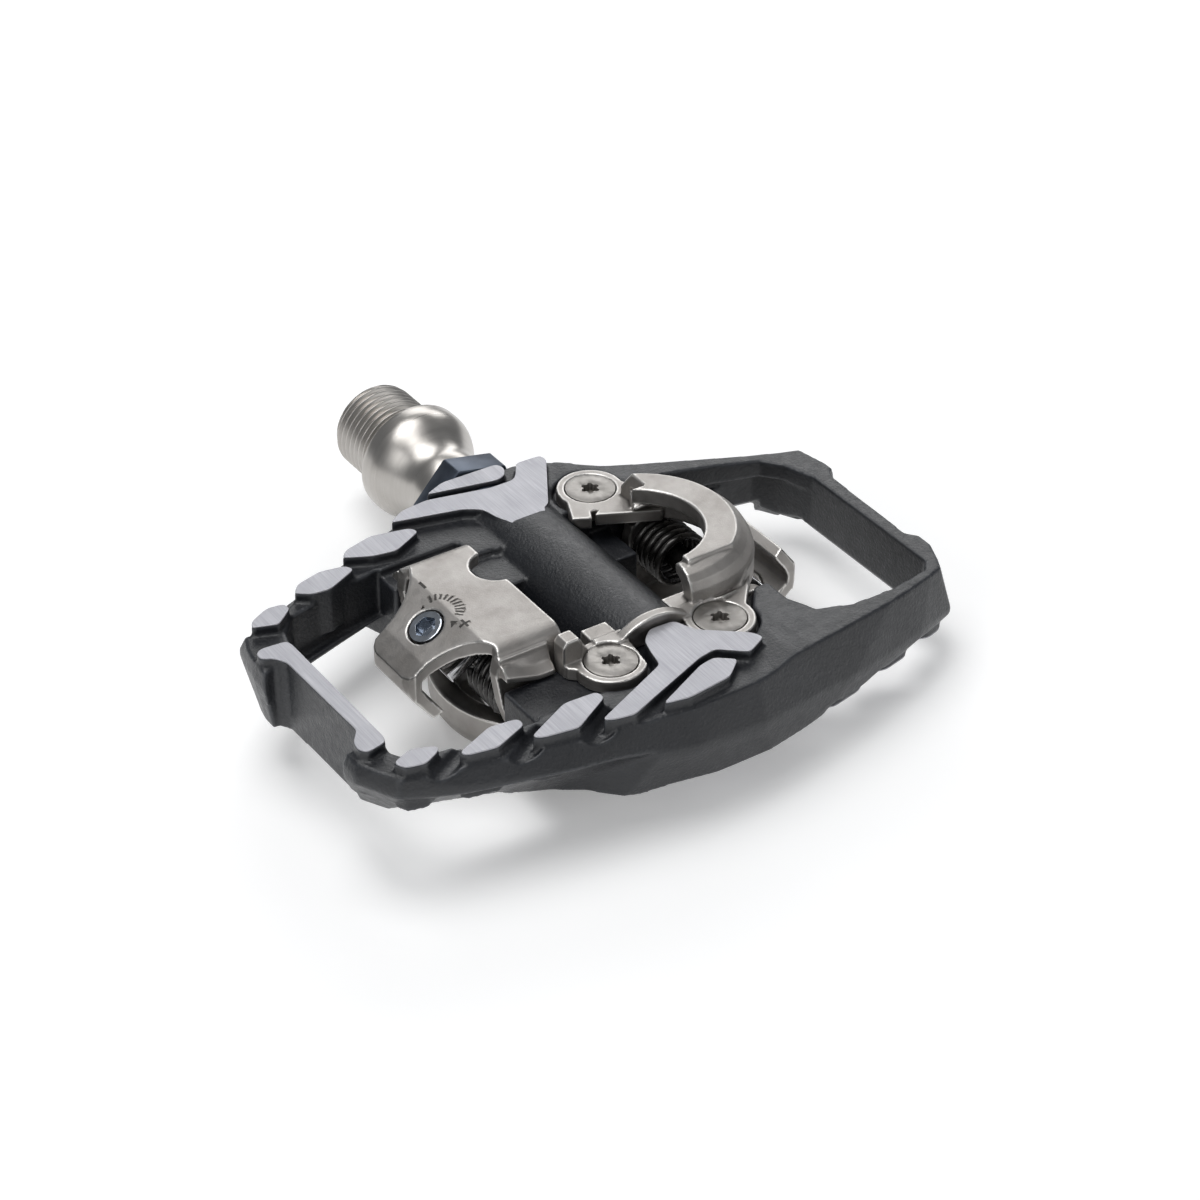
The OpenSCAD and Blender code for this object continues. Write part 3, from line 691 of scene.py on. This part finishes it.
def spindle():
    """The whole spindle turned in one piece, with a true helical thread and a hexagon socket."""
    around, step = 120, 0.06
    seat, end = 0.0, 12.0               # the thread runs from the crank's seat to the end of the stub

    # radius and y, from the outboard stud to the seat, then up the thread, where the radius is None
    stations = [(2.6, -62.2), (3.0, -61.8), (3.0, -57.95), (3.3, -57.9), (3.3, -28.6), (4.7, -27.1),
                (4.7, -13.75), (6.0, -13.7), (6.1, -13.6), (6.1, -10.0)]
    neck_y, length, cuts = -10, 8, 24   # the bell-shaped shoulder
    stations += [(bell(i / cuts), neck_y + length * i / cuts) for i in range(1, cuts + 1)]
    stations += [(9.2, -0.9), (9.18, -0.35), (9.1, -0.14), (8.95, -0.02), (8.8, seat), (7.3, seat),
                 (7.15, 0.05)]
    stations += [(None, 0.1 + step * i) for i in range(int((end - 0.2) / step))]
    stations += [(TIP_RADIUS, end)]
    bm = bmesh.new()
    rings = []

    def ring(y, radius_of):
        """One ring of vertices at y. radius_of takes the share of a whole turn."""
        made = []
        for k in range(around):
            angle = 2 * math.pi * k / around
            r = radius_of(k / around)
            made.append(bm.verts.new((r * MM * math.cos(angle), y * MM, r * MM * math.sin(angle))))
        rings.append(made)

    for radius, y in stations:
        if radius is None:
            ring(y, lambda turned: thread_radius(y, turned, end))
        else:
            ring(y, lambda turned: radius)
    # the socket: a lead-in, 8 mm across its flats, 8 mm deep, and the drill's point beyond
    for across, y in ((8.5, end), (8.0, end - 0.3), (8.0, end - 8)):
        ring(y, lambda turned: hexagon(2 * math.pi * turned, across))
    ring(end - 9.0, lambda turned: 0.2)
    for low, high in zip(rings, rings[1:]):
        for k in range(around):
            bm.faces.new((low[k], high[k], high[(k + 1) % around], low[(k + 1) % around]))
    bm.faces.new(rings[0])
    bm.faces.new(rings[-1][::-1])
    bmesh.ops.recalc_face_normals(bm, faces=bm.faces)
    mesh = finished(bm, "spindle_turned")
    mesh.shade_smooth()
    mesh.set_sharp_from_angle(angle=math.radians(64))
    place(new_piece("spindle_turned", mesh), "spindle", TURNED)


# ---------------------------------------------------------------- everything
cage()
spindle()
for face_name, face_turn in FACES:
    machined_pads(face_name, face_turn)
    binding(face_name, face_turn)
    claw(face_name, face_turn)
    for side_label in ("inboard", "outboard"):
        spring(face_name, face_turn, side_label)

# CAD nodes that are shown as they are: the material, and the softened edges' width in millimetres
KEPT = {
    "lock_nut": (ANODISED, 0.25), "spindle_seal": (RUBBER, 0.1), "inboard_bush": (RESIN, 0.1),
    "bearing_sleeve": (TURNED, 0.05), "inner_balls": (NUT_CHROME, 0), "outer_balls": (NUT_CHROME, 0),
    "bearing_cone": (TURNED, 0.1), "cone_washer": (TURNED, 0.05), "cone_lock_nut": (TURNED, 0.15),
    "plate_screws": (SCREW, 0.12), "pivot_pin": (OILY, 0.2), "tension_bolt": (BOLT_CHROME, 0.12),
    "tension_nut": (NUT_CHROME, 0.2),
}
for cad_name, cad_node in NODES.items():
    kind = either_face(cad_name)
    if kind in KEPT:
        look_of, edge_width = KEPT[kind]
        cad_node.data.materials.clear()
        cad_node.data.materials.append(look_of)
        if edge_width:
            bevelled(cad_name, edge_width)
        else:
            cad_node.data.shade_smooth()


# ---------------------------------------------------------------- camera, floor and light
def camera():
    """Long lens, looking down on the pedal from its outboard rear corner."""
    data = bpy.data.cameras.new("camera")
    data.lens = 90
    data.sensor_width = 36
    data.clip_start = 0.01
    eye = bpy.data.objects.new("camera", data)
    SCENE.collection.objects.link(eye)
    azimuth, elevation, roll = (math.radians(a) for a in (-33.9, 35.2, 0.1))
    aside, drop, distance = 1.3 * MM, 1.8 * MM, 431.4 * MM
    forward = Vector((-math.sin(azimuth) * math.cos(elevation), math.cos(azimuth) * math.cos(elevation),
                      -math.sin(elevation)))
    right = Vector((math.cos(azimuth), math.sin(azimuth), 0))
    up = right.cross(forward)
    level, upright = right, up
    right = level * math.cos(roll) + upright * math.sin(roll)
    up = upright * math.cos(roll) - level * math.sin(roll)
    eye.matrix_world = Matrix((right, up, -forward)).transposed().to_4x4()
    eye.location = CENTRE + aside * right + drop * up - distance * forward
    SCENE.camera = eye


def floor(height):
    """White paper under the pedal, slightly lit from within so that it meets a white background."""
    bm = bmesh.new()
    bmesh.ops.create_grid(bm, x_segments=8, y_segments=8, size=3.0)
    mesh = finished(bm, "floor")
    piece = new_piece("floor", mesh)
    piece.location = (CENTRE.x, CENTRE.y, height)
    look = Look("floor_paper", metallic=0.0, specular=0.1)
    colour = look.ramp(look.noise(60, 2), [(0.3, (0.90, 0.90, 0.90)), (0.7, (0.92, 0.92, 0.92))])
    look.shader.inputs["Emission Color"].default_value = (1, 1, 1, 1)
    look.shader.inputs["Emission Strength"].default_value = 0.21
    mesh.materials.append(look.done(colour, look.span(look.noise(20, 2), 0.75, 0.85)))


def softbox(name, at, size, power):
    """A rectangular lamp, in metres and watts, that faces the middle of the cleat."""
    data = bpy.data.lights.new(name, "AREA")
    data.shape = "RECTANGLE"
    data.size, data.size_y = size
    data.energy = power
    lamp = bpy.data.objects.new(name, data)
    SCENE.collection.objects.link(lamp)
    lamp.location = at
    lamp.rotation_euler = (CENTRE - lamp.location).to_track_quat("-Z", "Y").to_euler()


def studio():
    """A dim cool sky and four softboxes."""
    world = bpy.data.worlds.new("studio")
    world.use_nodes = True
    sky = world.node_tree.nodes["Background"]
    sky.inputs["Color"].default_value = (0.93, 0.96, 1.0, 1)
    sky.inputs["Strength"].default_value = 0.20
    SCENE.world = world
    softbox("overhead", (-0.10, 0.05, 0.62), (0.55, 0.40), 2.6)
    softbox("far_side", (0.42, 0.46, 0.36), (0.60, 0.30), 1.6)
    softbox("near_left", (-0.55, -0.30, 0.30), (0.30, 0.45), 0.9)
    softbox("near_right", (0.25, -0.62, 0.28), (0.45, 0.22), 0.5)


camera()
floor(cad_box[0].z - 0.3 * MM)
studio()
SCENE.view_settings.view_transform = "Standard"
